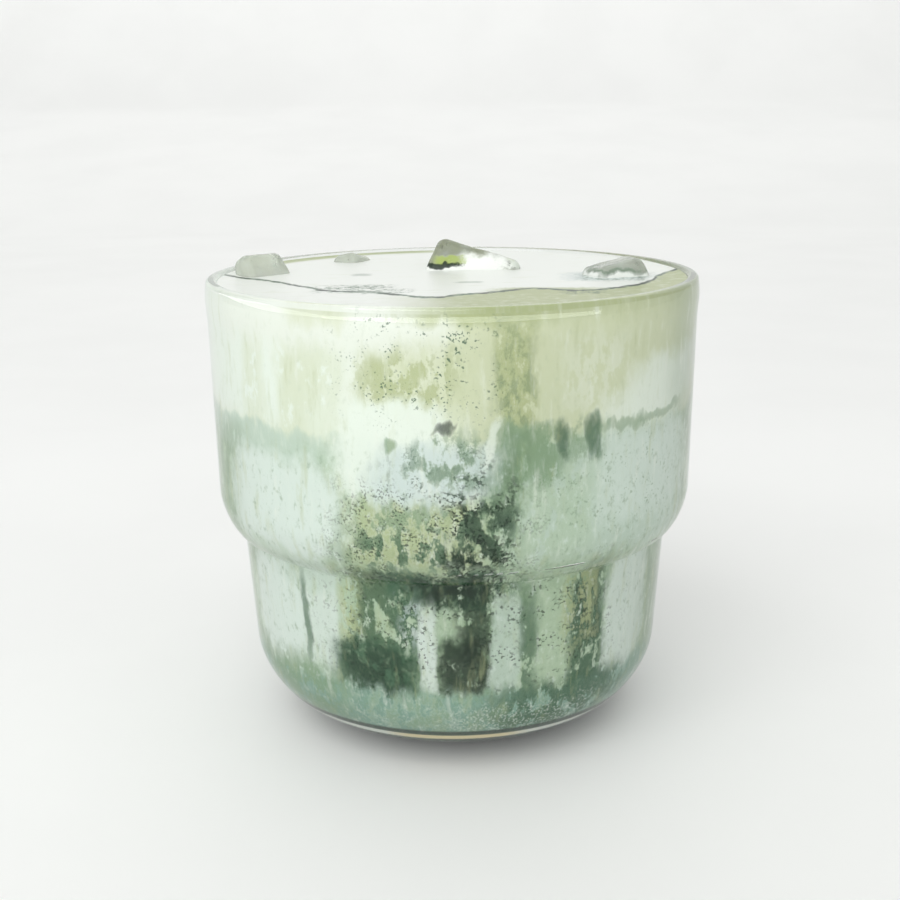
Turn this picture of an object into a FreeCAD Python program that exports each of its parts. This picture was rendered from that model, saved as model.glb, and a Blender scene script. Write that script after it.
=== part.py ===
"""Iced mugwort latte in a two-step stacking tumbler, with the glass that holds it.

The tumbler is one clear shell: a narrow lower step, a rounded shoulder, a wider upper step
and a thick rounded lip. The drink fills it nearly to the brim in three layers that meet on
uneven surfaces, and four pieces of ice stand out of its top. Each piece is a solid of its own
and lies face to face with its neighbours.

Millimetres. The origin is the middle of the foot, +Z is up and the front faces -Y.
"""
import FreeCAD, Part
import math
import os

import Sketcher

SHEET = "Sizes"
SIZES = {
    # The tumbler: radii are taken off the rim, levels are heights above the foot.
    "RimRadius": 44.0,
    "Height": 82.0,
    "Wall": 2.2,
    "Floor": 2.6,
    "LipStand": 0.3,
    "LipDepth": 7.0,
    "LipBelly": 2.8,
    "LipLean": 0.2,
    "UpperDraw": 0.78,
    "NeckDraw": 4.82,
    "NeckLevel": 36.9,
    "ShoulderRise": 4.6,
    "ToeStep": 1.55,
    "ToeRise": 0.6,
    "LowerDraw": 1.95,
    "HeelLevel": 8.6,
    "HeelRun": 15.5,
    # Rounding radii of the outside; the inside follows them at the wall's distance.
    "SoleRound": 20.0,
    "HeelRound": 13.0,
    "NeckRound": 0.6,
    "ToeRound": 3.2,
    "ShoulderRound": 11.0,
    "LipBellyRound": 8.0,
    "LipCrownRound": 0.6,
    "LipInnerRound": 0.8,
    # The drink and the surfaces between its layers.
    "Headroom": 1.0,
    "CreamLevel": 61.0,
    "CreamWave": 2.2,
    "CreamPhase": 40.0,
    "DipDepth": 9.0,
    "DipSpread": 13.0,
    "DipAzimuth": -8.0,
    "PasteLevel": 19.5,
    "PasteWave": 1.6,
    "PastePhase": -60.0,
    # The ice: four melted pieces, tapered and rounded alike.
    "IceRound": 2.0,
    "IceTaper": 2.2,
    "CentreWidth": 20.9,
    "CentreDepth": 18.3,
    "CentreTall": 18.5,
    "CentreInside": 25.7,
    "CentreAzimuth": 169.0,
    "CentreSunk": 6.3,
    "RightWidth": 14.4,
    "RightDepth": 12.4,
    "RightTall": 14.5,
    "RightInside": 11.5,
    "RightAzimuth": 92.0,
    "RightSunk": 4.6,
    "LeftWidth": 9.0,
    "LeftDepth": 13.6,
    "LeftTall": 15.2,
    "LeftInside": 7.3,
    "LeftAzimuth": -100.0,
    "LeftSunk": 3.3,
    "BackWidth": 10.1,
    "BackDepth": 11.4,
    "BackTall": 10.7,
    "BackInside": 8.4,
    "BackAzimuth": -143.5,
    "BackSunk": 3.9,
}

# Corners of the tumbler's outside, from the foot to the lip: name, radius and level as sums
# of named sizes, and the rounding there. The foot's own middle comes before them, and the
# wall runs on into the lip at so small an angle that it needs no rounding.
CORNERS = (
    ("Sole", "RimRadius - NeckDraw - LowerDraw - HeelRun", "", "SoleRound"),
    ("Heel", "RimRadius - NeckDraw - LowerDraw", "HeelLevel", "HeelRound"),
    ("Neck", "RimRadius - NeckDraw", "NeckLevel", "NeckRound"),
    ("Toe", "RimRadius - NeckDraw + ToeStep", "NeckLevel + ToeRise", "ToeRound"),
    ("Shoulder", "RimRadius - UpperDraw", "NeckLevel + ShoulderRise", "ShoulderRound"),
    ("LipFoot", "RimRadius - LipStand", "Height - LipDepth", ""),
    ("LipBelly", "RimRadius", "Height - LipBelly", "LipBellyRound"),
    ("LipCrown", "RimRadius - LipLean", "Height", "LipCrownRound"),
)
# The inside turns at the first five corners; at the neck, a hollow outside, its rounding is
# the larger one, and everywhere else the smaller.
INSIDE_TURNS = 5
HOLLOW_CORNER = "Neck"

# Turns of the wave round the glass, and points a side of each layer surface's net.
CREAM_TURNS = 2
PASTE_TURNS = 3
NET_POINTS = 15
DIP_POWER = 4
WAVE_START = 0.25

# Each piece of ice: its name and how it is turned (yaw, pitch and roll in degrees).
ICE = (
    ("Centre", (-9.0, 16.0, -18.0)),
    ("Right", (21.0, -12.0, -3.0)),
    ("Left", (-45.0, -30.0, -1.0)),
    ("Back", (-30.0, -10.0, -16.0)),
)


def make_sheet(doc):
    """The spreadsheet of driving sizes, one alias a row."""
    sheet = doc.addObject("Spreadsheet::Sheet", SHEET)
    for row, (name, value) in enumerate(SIZES.items(), start=1):
        sheet.set(f"A{row}", name)
        sheet.set(f"B{row}", str(value))
        sheet.setAlias(f"B{row}", name)
    doc.recompute()
    return sheet


def value_of(sheet, text):
    """A sum of named sizes, such as "Height - LipDepth", as a number."""
    total = 0.0
    sign = 1
    for word in text.split():
        if word in ("+", "-"):
            sign = 1 if word == "+" else -1
        else:
            total += sign * sheet.get(word)
    return total


def formula_of(text):
    """The same sum written for setExpression."""
    words = (word if word in ("+", "-") else f"{SHEET}.{word}" for word in text.split())
    return " ".join(words)


def plane_of(body, role):
    """One of a body's own origin planes."""
    return next(item for item in body.Origin.OriginFeatures if item.Role == role)


def new_sketch(body, name):
    """A sketch on the body's upright plane: across is the radius, up is the level."""
    sketch = body.newObject("Sketcher::SketchObject", name)
    sketch.AttachmentSupport = (plane_of(body, "XZ_Plane"), "")
    sketch.MapMode = "FlatFace"
    return sketch


def add_line(sketch, start, end, construction=False):
    """A straight line between two points; returns its number."""
    segment = Part.LineSegment(FreeCAD.Vector(*start, 0), FreeCAD.Vector(*end, 0))
    return sketch.addGeometry(segment, construction)


def add_frame(sketch, points):
    """Construction lines through the sharp corners, joined end to end."""
    lines = [add_line(sketch, *ends, True) for ends in zip(points, points[1:])]
    for before, after in zip(lines, lines[1:]):
        sketch.addConstraint(Sketcher.Constraint("Coincident", before, 2, after, 1))
    return lines


def bind(sketch, constraint, formula):
    """Add a dimension and tie it to the sheet."""
    number = sketch.addConstraint(constraint)
    sketch.setExpression(f"Constraints[{number}]", formula)


def outside_points(sheet):
    """The outside's sharp corners, from the middle of the foot up to the lip's crown."""
    corners = [(value_of(sheet, radius), value_of(sheet, level)) for _, radius, level, _ in CORNERS]
    return [(0.0, 0.0)] + corners


def inset_point(before, corner, after, first, second):
    """Where the two lines that meet at a corner cross once moved inwards."""
    normals = []
    for start, end in ((before, corner), (corner, after)):
        run = math.dist(start, end)
        normals.append(((start[1] - end[1]) / run, (end[0] - start[0]) / run))
    (ax, ay), (bx, by) = normals
    scale = ax * by - ay * bx
    across = (first * by - second * ay) / scale
    up = (second * ax - first * bx) / scale
    return corner[0] + across, corner[1] + up


def inside_points(sheet):
    """The hollow's sharp corners from its floor up to the brim, a wall in from the outside."""
    outside = outside_points(sheet)
    points = [(0.0, sheet.Floor)]
    for index in range(1, INSIDE_TURNS + 1):
        first = sheet.Floor if index == 1 else sheet.Wall
        points.append(inset_point(*outside[index - 1:index + 2], first, sheet.Wall))
    low, high = outside[INSIDE_TURNS], outside[INSIDE_TURNS + 1]
    slope = (high[0] - low[0]) / (high[1] - low[1])
    brim = points[-1][0] + slope * (sheet.Height - points[-1][1])
    return points + [(brim, sheet.Height)]


def wall_frame(sketch, sheet):
    """Construction lines round the wall's section, tied to the sheet.

    Returns the outside's lines, the one over the brim and the inside's from the floor up.
    """
    outside = outside_points(sheet)
    lines = add_frame(sketch, outside + inside_points(sheet)[::-1])
    outer = lines[:len(CORNERS)]
    brim = lines[len(CORNERS)]
    inner = lines[:len(CORNERS):-1]
    sketch.addConstraint(Sketcher.Constraint("Coincident", outer[0], 1, -1, 1))
    for line, (_, radius, level, _) in zip(outer, CORNERS):
        across = Sketcher.Constraint("DistanceX", -1, 1, line, 2, value_of(sheet, radius))
        bind(sketch, across, formula_of(radius))
        if level:
            up = Sketcher.Constraint("DistanceY", -1, 1, line, 2, value_of(sheet, level))
            bind(sketch, up, formula_of(level))
    for line in (outer[0], brim, inner[0]):
        sketch.addConstraint(Sketcher.Constraint("Horizontal", line))
    sketch.addConstraint(Sketcher.Constraint("PointOnObject", inner[0], 2, -2))
    floor = Sketcher.Constraint("DistanceY", -1, 1, inner[0], 2, sheet.Floor)
    bind(sketch, floor, formula_of("Floor"))
    for line, outer_line in zip(inner[1:], outer[1:]):
        for end in (1, 2):
            gap = Sketcher.Constraint("Distance", line, end, outer_line, sheet.Wall)
            bind(sketch, gap, formula_of("Wall"))
    return outer, brim, inner


def turn_at(before, corner, after):
    """Unit directions into and out of a corner, and the angle turned there, left positive."""
    runs = math.dist(before, corner), math.dist(corner, after)
    inward = [(corner[axis] - before[axis]) / runs[0] for axis in (0, 1)]
    outward = [(after[axis] - corner[axis]) / runs[1] for axis in (0, 1)]
    cross = inward[0] * outward[1] - inward[1] * outward[0]
    dot = inward[0] * outward[0] + inward[1] * outward[1]
    return inward, outward, math.atan2(cross, dot)


def add_profile(sketch, frame, points, roundings):
    """The closed outline on a frame: straight runs, an arc at each rounded corner, the axis.

    Each rounding is a radius with its formula, or None where the corner stays sharp.
    """
    starts = [points[0]]
    ends = []
    arcs = []
    for before, corner, after, rounding in zip(points, points[1:], points[2:], roundings):
        inward, outward, turn = turn_at(before, corner, after)
        radius = rounding[0] if rounding else 0.0
        reach = radius * math.tan(abs(turn) / 2)
        ends.append(tuple(corner[axis] - reach * inward[axis] for axis in (0, 1)))
        starts.append(tuple(corner[axis] + reach * outward[axis] for axis in (0, 1)))
        arcs.append((radius, inward, turn) if rounding else None)
    ends.append(points[-1])

    lines = [add_line(sketch, *span) for span in zip(starts, ends)]
    for line, frame_line in zip(lines, frame):
        sketch.addConstraint(Sketcher.Constraint("Tangent", line, frame_line))
    for index, (arc, rounding) in enumerate(zip(arcs, roundings)):
        joined = (lines[index], lines[index + 1])
        if arc:
            add_rounding(sketch, joined, ends[index], arc, rounding[1])
        else:
            sketch.addConstraint(Sketcher.Constraint("Coincident", joined[0], 2, joined[1], 1))
    sketch.addConstraint(Sketcher.Constraint("PointOnObject", lines[0], 1, -2))
    sketch.addConstraint(Sketcher.Constraint("PointOnObject", lines[-1], 2, -2))
    axis_line = add_line(sketch, points[-1], points[0])
    sketch.addConstraint(Sketcher.Constraint("Coincident", lines[-1], 2, axis_line, 1))
    sketch.addConstraint(Sketcher.Constraint("Coincident", axis_line, 2, lines[0], 1))


def add_rounding(sketch, joined, start, arc, formula):
    """An arc between two lines, tangent to both, with its radius tied to the sheet."""
    radius, inward, turn = arc
    side = math.copysign(1, turn)
    centre = (start[0] - side * radius * inward[1], start[1] + side * radius * inward[0])
    first = math.atan2(start[1] - centre[1], start[0] - centre[0])
    low, high = sorted((first, first + turn))
    circle = Part.Circle(FreeCAD.Vector(*centre, 0), FreeCAD.Vector(0, 0, 1), radius)
    number = sketch.addGeometry(Part.ArcOfCircle(circle, low, high), False)
    near, far = (1, 2) if turn > 0 else (2, 1)
    sketch.addConstraint(Sketcher.Constraint("Tangent", joined[0], 2, number, near))
    sketch.addConstraint(Sketcher.Constraint("Tangent", joined[1], 1, number, far))
    bind(sketch, Sketcher.Constraint("Radius", number, radius), formula)


def revolve(doc, body, sketch):
    """Turn a sketch about the upright axis into a solid."""
    turned = body.newObject("PartDesign::Revolution", f"{body.Name}Turned")
    turned.Profile = sketch
    turned.ReferenceAxis = (sketch, ["V_Axis"])
    turned.Angle = 360
    doc.recompute()


def inside_roundings(sheet):
    """The hollow's roundings, which keep the wall's distance from the outside's."""
    roundings = []
    for name, _, _, rounding in CORNERS[:INSIDE_TURNS]:
        sum_text = f"{rounding} {'+' if name == HOLLOW_CORNER else '-'} Wall"
        roundings.append((value_of(sheet, sum_text), formula_of(sum_text)))
    return roundings


def make_glass(doc, sheet):
    """The clear tumbler, turned from the section of its wall."""
    body = doc.addObject("PartDesign::Body", "Glass")
    sketch = new_sketch(body, "WallSketch")
    outer, brim, inner = wall_frame(sketch, sheet)
    roundings = [
        (value_of(sheet, rounding), formula_of(rounding)) if rounding else None
        for _, _, _, rounding in CORNERS
    ]
    roundings.append((sheet.LipInnerRound, formula_of("LipInnerRound")))
    roundings += inside_roundings(sheet)[::-1]
    points = outside_points(sheet) + inside_points(sheet)[::-1]
    add_profile(sketch, outer + [brim] + inner[::-1], points, roundings)
    revolve(doc, body, sketch)
    return body


def make_hollow(doc, sheet):
    """The tumbler's hollow as a full solid, up to the brim."""
    body = doc.addObject("PartDesign::Body", "Hollow")
    sketch = new_sketch(body, "HollowSketch")
    _, brim, inner = wall_frame(sketch, sheet)
    points = inside_points(sheet) + [(0.0, sheet.Height)]
    add_profile(sketch, inner + [brim], points, inside_roundings(sheet) + [None])
    revolve(doc, body, sketch)
    return body


def cut(doc, name, base, tool):
    """One solid less another."""
    result = doc.addObject("Part::Cut", name)
    result.Base = base
    result.Tool = tool
    return result


def common(doc, name, base, tool):
    """What two solids share."""
    result = doc.addObject("Part::Common", name)
    result.Base = base
    result.Tool = tool
    return result


def polar(radius, azimuth):
    """A place round the axis; azimuth 0 is the front and turns towards +X."""
    turn = math.radians(azimuth)
    return radius * math.sin(turn), -radius * math.cos(turn)


def cream_height(sheet, across, along):
    """Level of the surface between cream and latte, with its sag behind the front wall."""
    reach = sheet.RimRadius - sheet.Wall
    turn = math.atan2(across, -along)
    fade = min(1.0, math.hypot(across, along) / (WAVE_START * reach))
    wave = sheet.CreamWave * math.sin(CREAM_TURNS * turn + math.radians(sheet.CreamPhase))
    dip_x, dip_y = polar(reach, sheet.DipAzimuth)
    away = math.hypot(across - dip_x, along - dip_y) / sheet.DipSpread
    dip = sheet.DipDepth * math.exp(-away ** DIP_POWER)
    return sheet.CreamLevel + fade * wave - dip


def paste_height(sheet, across, along):
    """Level of the settled paste's top."""
    reach = sheet.RimRadius - sheet.Wall
    turn = math.atan2(across, -along)
    fade = min(1.0, math.hypot(across, along) / reach)
    wave = sheet.PasteWave * math.sin(PASTE_TURNS * turn + math.radians(sheet.PastePhase))
    return sheet.PasteLevel + fade * wave


def above_surface(doc, sheet, name, height):
    """The space above an uneven surface, out past the glass and up past the brim."""
    step = 2 * sheet.RimRadius / (NET_POINTS - 1)
    net = []
    for row in range(NET_POINTS):
        across = row * step - sheet.RimRadius
        places = [(across, column * step - sheet.RimRadius) for column in range(NET_POINTS)]
        net.append([FreeCAD.Vector(*place, height(sheet, *place)) for place in places])
    surface = Part.BSplineSurface()
    surface.interpolate(net)
    space = doc.addObject("Part::Feature", name)
    space.Shape = surface.toShape().extrude(FreeCAD.Vector(0, 0, sheet.Height))
    return space


def make_drink(doc, hollow):
    """All that fills the glass: its hollow up to the drink's level."""
    slab = doc.addObject("Part::Cylinder", "LevelSlab")
    slab.setExpression("Radius", formula_of("RimRadius"))
    slab.setExpression("Height", formula_of("Height - Headroom"))
    return common(doc, "Drink", hollow, slab)


def make_ice(doc, sheet, name, turns):
    """A melted piece of ice: a block that tapers upwards, rounded on every edge."""
    width, depth, tall = (sheet.get(name + side) for side in ("Width", "Depth", "Tall"))
    block = doc.addObject("Part::Wedge", f"{name}Block")
    spans = (("Xmin", -1, "Width", 0), ("Xmax", 1, "Width", 0),
             ("Zmin", -1, "Depth", 0), ("Zmax", 1, "Depth", 0),
             ("X2min", -1, "Width", 1), ("X2max", 1, "Width", 1),
             ("Z2min", -1, "Depth", 1), ("Z2max", 1, "Depth", 1),
             ("Ymin", -1, "Tall", 0), ("Ymax", 1, "Tall", 0))
    for prop, side, size, taper in spans:
        half = f"{SHEET}.{name}{size} / 2 - {taper} * {SHEET}.IceTaper"
        block.setExpression(prop, f"{side} * ({half})")
    out = sheet.RimRadius - sheet.Wall - sheet.get(f"{name}Inside")
    across, along = polar(out, sheet.get(f"{name}Azimuth"))
    level = value_of(sheet, f"Height - Headroom - {name}Sunk")
    stand = FreeCAD.Rotation(FreeCAD.Vector(1, 0, 0), 90)
    place = FreeCAD.Rotation(*turns).multiply(stand)
    block.Placement = FreeCAD.Placement(FreeCAD.Vector(across, along, level), place)
    doc.recompute()
    ice = doc.addObject("Part::Fillet", f"Ice{name}")
    ice.Base = block
    radius = min(sheet.IceRound, width / 3, depth / 3, tall / 3)
    ice.Edges = [(number, radius, radius) for number in range(1, len(block.Shape.Edges) + 1)]
    return ice


def label_parts(parts):
    """Name each sub-part for its file."""
    for name, part in parts.items():
        part.Label = name


def check(doc, parts):
    """Stop unless every object worked and every sub-part is one valid solid."""
    for item in doc.Objects:
        if "Invalid" in item.State or "Error" in item.State:
            raise RuntimeError(f"{item.Name} failed: {item.State}")
    for name, part in parts.items():
        shape = part.Shape
        if shape.isNull() or not shape.isValid() or len(shape.Solids) != 1:
            raise RuntimeError(f"{name} is not one valid solid")


def export(parts):
    """Write each sub-part to its own file."""
    os.makedirs("parts", exist_ok=True)
    for part in parts.values():
        part.Shape.exportStep(f"parts/{part.Label}.step")


def main():
    """Build the tumbler, the drink's layers and the ice, then write them."""
    doc = FreeCAD.newDocument("MugwortLatte")
    sheet = make_sheet(doc)
    glass = make_glass(doc, sheet)
    hollow = make_hollow(doc, sheet)

    ice = {f"ice_{name.lower()}": make_ice(doc, sheet, name, turns) for name, turns in ICE}
    all_ice = doc.addObject("Part::Compound", "AllIce")
    all_ice.Links = list(ice.values())

    drink = make_drink(doc, hollow)
    round_ice = cut(doc, "DrinkRoundIce", drink, all_ice)
    above_cream = above_surface(doc, sheet, "AboveCream", cream_height)
    above_paste = above_surface(doc, sheet, "AbovePaste", paste_height)
    cream = common(doc, "Cream", round_ice, above_cream)
    below_cream = cut(doc, "BelowCream", round_ice, above_cream)
    latte = common(doc, "Latte", below_cream, above_paste)
    paste = cut(doc, "Paste", below_cream, above_paste)

    parts = {"glass": glass, "cream": cream, "latte": latte, "mugwort_paste": paste}
    parts.update(ice)
    doc.recompute()
    label_parts(parts)
    check(doc, parts)
    export(parts)
    for name, part in parts.items():
        box = part.Shape.BoundBox
        print(f"{name}: {part.Shape.Volume / 1000:.2f} cm3, {box.ZMin:.2f} to {box.ZMax:.2f} mm high")


main()
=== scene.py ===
import functools
import math

import bmesh
import bpy
from bpy.props import FloatProperty, FloatVectorProperty, IntProperty, PointerProperty
from mathutils import Matrix, Vector, noise


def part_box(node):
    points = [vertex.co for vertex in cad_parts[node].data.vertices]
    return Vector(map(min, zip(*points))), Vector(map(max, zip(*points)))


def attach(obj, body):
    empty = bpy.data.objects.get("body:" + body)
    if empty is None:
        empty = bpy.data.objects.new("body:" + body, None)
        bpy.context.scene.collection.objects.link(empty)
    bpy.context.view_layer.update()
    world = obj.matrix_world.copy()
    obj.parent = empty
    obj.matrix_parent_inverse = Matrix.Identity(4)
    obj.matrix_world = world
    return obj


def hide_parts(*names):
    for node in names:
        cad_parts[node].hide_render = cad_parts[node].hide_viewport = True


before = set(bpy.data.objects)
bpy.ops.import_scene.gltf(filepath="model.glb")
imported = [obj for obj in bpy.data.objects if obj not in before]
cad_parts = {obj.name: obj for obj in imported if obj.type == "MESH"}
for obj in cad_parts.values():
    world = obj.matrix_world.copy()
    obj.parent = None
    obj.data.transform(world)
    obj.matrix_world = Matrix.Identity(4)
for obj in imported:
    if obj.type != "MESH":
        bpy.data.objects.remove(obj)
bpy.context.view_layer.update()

bl_info = {
    "name": "Mugwort Latte",
    "version": (1, 0, 0),
    "blender": (4, 5, 0),
    "location": "View3D > Sidebar > Latte",
    "description": "Dresses an iced mugwort latte in a stepped tumbler",
    "category": "Object",
}

MM = 0.001
GLASS_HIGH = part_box("glass")[1]
CREAM_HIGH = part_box("cream")[1]


def length(name, description, default):
    """A size in metres, written here in millimetres."""
    return FloatProperty(name=name, description=description, default=default * MM, unit="LENGTH")


def colour(name, description, red, green, blue):
    """A colour written as screen values from 0 to 255 and kept as linear light."""
    linear = [to_linear(channel / 255) for channel in (red, green, blue)]
    return FloatVectorProperty(
        name=name, description=description, default=linear, subtype="COLOR", min=0.0, max=1.0
    )


def to_linear(value):
    """Screen brightness as linear light."""
    return value / 12.92 if value <= 0.04045 else ((value + 0.055) / 1.055) ** 2.4


class LatteSizes(bpy.types.PropertyGroup):
    """Sizes of the tumbler's section and of what fills it."""

    rim_radius: length("Rim radius", "Outside of the lip", GLASS_HIGH.x / MM)
    height: length("Height", "Foot to brim", GLASS_HIGH.z / MM)
    wall: length("Wall", "Thickness of the glass wall", 2.2)
    floor: length("Floor", "Thickness of the glass floor", 2.6)
    lip_stand: length("Lip stand", "How far the lip stands out from the wall", 0.3)
    lip_depth: length("Lip depth", "How far below the brim the lip starts", 7.0)
    lip_belly: length("Lip belly", "How far below the brim the lip is widest", 2.8)
    lip_lean: length("Lip lean", "How far the lip leans in from its belly to the brim", 0.35)
    upper_draw: length("Upper draw", "How much the upper wall draws in at its foot", 0.78)
    neck_draw: length("Neck draw", "How much narrower than the lip the neck is", 4.82)
    neck_level: length("Neck level", "Height of the neck between the steps", 36.9)
    shoulder_rise: length("Shoulder rise", "Neck to the shoulder's corner", 4.6)
    toe_step: length("Toe step", "How far the shoulder's toe stands out from the neck", 1.55)
    toe_rise: length("Toe rise", "Neck to the shoulder's toe", 0.6)
    lower_draw: length("Lower draw", "How much the lower wall draws in at its foot", 1.95)
    heel_level: length("Heel level", "Height of the heel's corner", 8.6)
    heel_run: length("Heel run", "Foot's edge to the heel's corner", 15.5)
    wet_reach: length("Wet reach", "How far the drink reaches into the wall", 0.12)
    meniscus: length("Meniscus", "Climb of the drink up the wall", 0.45)
    turns: IntProperty(name="Turns", description="Faces round the glass", default=192, min=32)


class LatteColours(bpy.types.PropertyGroup):
    """Colours of the drink, the glass and the floor."""

    milk: colour("Milk", "White milk on top", 243, 246, 241)
    blob: colour("Blob", "White milk hanging behind the wall", 230, 237, 228)
    cream_pale: colour("Pale cream", "Milky cream between the streaks", 231, 235, 226)
    cream_cool: colour("Cool cream", "Pale cream at the left", 230, 237, 228)
    cream_warm: colour("Warm cream", "Olive cream at the right", 205, 211, 180)
    olive: colour("Olive", "Olive streaks in the cream", 176, 185, 138)
    latte: colour("Latte", "Pale green latte", 180, 199, 172)
    ice_pale: colour("Pale ice", "Ice seen through the wall", 216, 226, 219)
    ice_green: colour("Green ice", "Ice behind thin latte", 190, 206, 192)
    # leaf, moss and deep also serve as painted shade at the glass's sides, across the neck, round the
    # bottom of the drink and under the ice; cream_pale also serves for a painted band of light at the
    # foot.
    leaf: colour("Leaf", "Mid green marbling", 128, 154, 122)
    moss: colour("Moss", "Dark green marbling", 66, 100, 74)
    deep: colour("Deep green", "Darkest green marbling", 4, 34, 16)
    paste: colour("Paste", "Settled paste", 132, 164, 149)
    froth: colour("Froth", "Pale froth in the paste", 174, 198, 184)
    lace: colour("Lace", "Blue-grey veil under the blob", 202, 214, 212)
    glass: colour("Glass", "Tint of the tumbler", 253, 255, 254)
    # glass_edge_shade: painted shade where the wall is seen along its length, standing in for darker
    # surroundings seen through the glass's edges.
    glass_edge_shade: colour("Glass edge", "Tint where the wall is seen along its length", 190, 204, 200)
    # glass_foot_shade: painted shade at the edge of the foot, where the glass meets the table.
    glass_foot_shade: colour("Glass foot", "Tint at the edge of the foot", 128, 146, 144)
    gold: colour("Gold", "Light caught in the floor's edge", 240, 224, 180)
    ice: colour("Ice", "Ice that stands out of the drink", 224, 229, 216)
    ice_grey: colour("Grey ice", "Middle piece of ice", 204, 210, 184)
    ice_bright: colour("Bright ice", "Clear facets of ice", 232, 239, 230)
    lime: colour("Lime", "Bright green under the ice", 160, 180, 70)
    floor: colour("Floor", "Table and backdrop", 250, 250, 249)

    def tint(self, name):
        """A named colour with an alpha."""
        return (*getattr(self, name), 1.0)


# ---- the tumbler's section


def section_corners(sizes):
    """Corners of the outside from foot to lip with the rounding at each."""
    neck = sizes.rim_radius - sizes.neck_draw
    heel = neck - sizes.lower_draw
    toe = sizes.neck_level + sizes.toe_rise
    shoulder = sizes.neck_level + sizes.shoulder_rise
    return (
        (heel - sizes.heel_run, 0.0, 20.0 * MM),
        (heel, sizes.heel_level, 13.0 * MM),
        (neck, sizes.neck_level, 0.6 * MM),
        (neck + sizes.toe_step, toe, 3.2 * MM),
        (sizes.rim_radius - sizes.upper_draw, shoulder, 11.0 * MM),
        (sizes.rim_radius - sizes.lip_stand, sizes.height - sizes.lip_depth, 20.0 * MM),
        (sizes.rim_radius, sizes.height - sizes.lip_belly, 11.0 * MM),
        (sizes.rim_radius - sizes.lip_lean, sizes.height, 0.7 * MM),
    )


# How many corners the inside follows, and which of them is hollow as seen from outside.
INNER_CORNERS = 5
HOLLOW_CORNER = 2
BRIM_ROUNDING = 0.8 * MM
ARC_FACES = 8
WELD = 1e-6


def inset(before, corner, after, first, second):
    """Where the two lines that meet at a corner cross once moved inwards."""
    normals = []
    for start, end in ((before, corner), (corner, after)):
        along = (Vector(end) - Vector(start)).normalized()
        normals.append((-along.y, along.x))
    (ax, ay), (bx, by) = normals
    scale = ax * by - ay * bx
    across = (first * by - second * ay) / scale
    up = (second * ax - first * bx) / scale
    return corner[0] + across, corner[1] + up


def inner_corners(sizes):
    """Corners of the inside from the floor's middle to the brim with the rounding at each."""
    outer = [(0.0, 0.0)] + [corner[:2] for corner in section_corners(sizes)]
    roundings = [corner[2] for corner in section_corners(sizes)]
    corners = []
    for index in range(1, INNER_CORNERS + 1):
        first = sizes.floor if index == 1 else sizes.wall
        place = inset(*outer[index - 1:index + 2], first, sizes.wall)
        side = 1 if index - 1 == HOLLOW_CORNER else -1
        corners.append((*place, roundings[index - 1] + side * sizes.wall))
    low, high = outer[INNER_CORNERS], outer[INNER_CORNERS + 1]
    slope = (high[0] - low[0]) / (high[1] - low[1])
    brim = corners[-1][0] + slope * (sizes.height - corners[-1][1])
    return corners + [(brim, sizes.height, BRIM_ROUNDING)]


def wire_through(bm, places):
    """A wire of straight edges through places; returns its vertices and edges."""
    verts = [bm.verts.new(place) for place in places]
    return verts, [bm.edges.new(pair) for pair in zip(verts, verts[1:])]


def rounded_wire(bm, corners, start, end):
    """A wire from start to end whose corners are beveled round; returns its vertices in order."""
    places = [start] + [corner[:2] for corner in corners] + [end]
    verts, _ = wire_through(bm, [(across, 0.0, up) for across, up in places])
    reaches = []
    for index, (_, _, radius) in enumerate(corners, start=1):
        into = (verts[index].co - verts[index - 1].co).normalized()
        out = (verts[index + 1].co - verts[index].co).normalized()
        reaches.append((verts[index], radius * math.tan(into.angle(out) / 2)))
    for vert, reach in reaches:
        bmesh.ops.bevel(
            bm, geom=[vert], offset=reach, offset_type="OFFSET", affect="VERTICES",
            segments=ARC_FACES, profile=0.5, material=-1,
        )
    return walk(bm, start)


def walk(bm, start):
    """Vertices of an open wire in order from the one at the start."""
    bm.verts.ensure_lookup_table()
    here = min(bm.verts, key=lambda vert: (vert.co - Vector((start[0], 0.0, start[1]))).length)
    ordered = [here]
    edge = here.link_edges[0]
    while edge:
        here = edge.other_vert(here)
        ordered.append(here)
        edge = next((other for other in here.link_edges if other != edge), None)
    return ordered


def spin_solid(bm, turns):
    """Turn the wire about the upright axis into a closed shell that faces outwards."""
    bmesh.ops.spin(
        bm, geom=bm.verts[:] + bm.edges[:], cent=(0, 0, 0), axis=(0, 0, 1),
        angle=math.tau, steps=turns, use_merge=True,
    )
    bmesh.ops.remove_doubles(bm, verts=bm.verts[:], dist=WELD)
    bmesh.ops.recalc_face_normals(bm, faces=bm.faces[:])


SHARP_FROM = math.radians(35)


def link_mesh(bm, name, material):
    """Turn a bmesh into an object in the scene."""
    mesh = bpy.data.meshes.new(name)
    bm.to_mesh(mesh)
    bm.free()
    mesh.materials.append(material)
    item = bpy.data.objects.new(name, mesh)
    bpy.context.scene.collection.objects.link(item)
    return item


def make_piece(bm, name, material, node):
    """Turn a bmesh into a smooth piece that rides on the part and stands for a CAD node."""
    for edge in bm.edges:
        edge.smooth = edge.calc_face_angle(0.0) < SHARP_FROM
    for face in bm.faces:
        face.smooth = True
    piece = link_mesh(bm, name, material)
    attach(piece, "root")
    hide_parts(node)


# ---- material nodes


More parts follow.
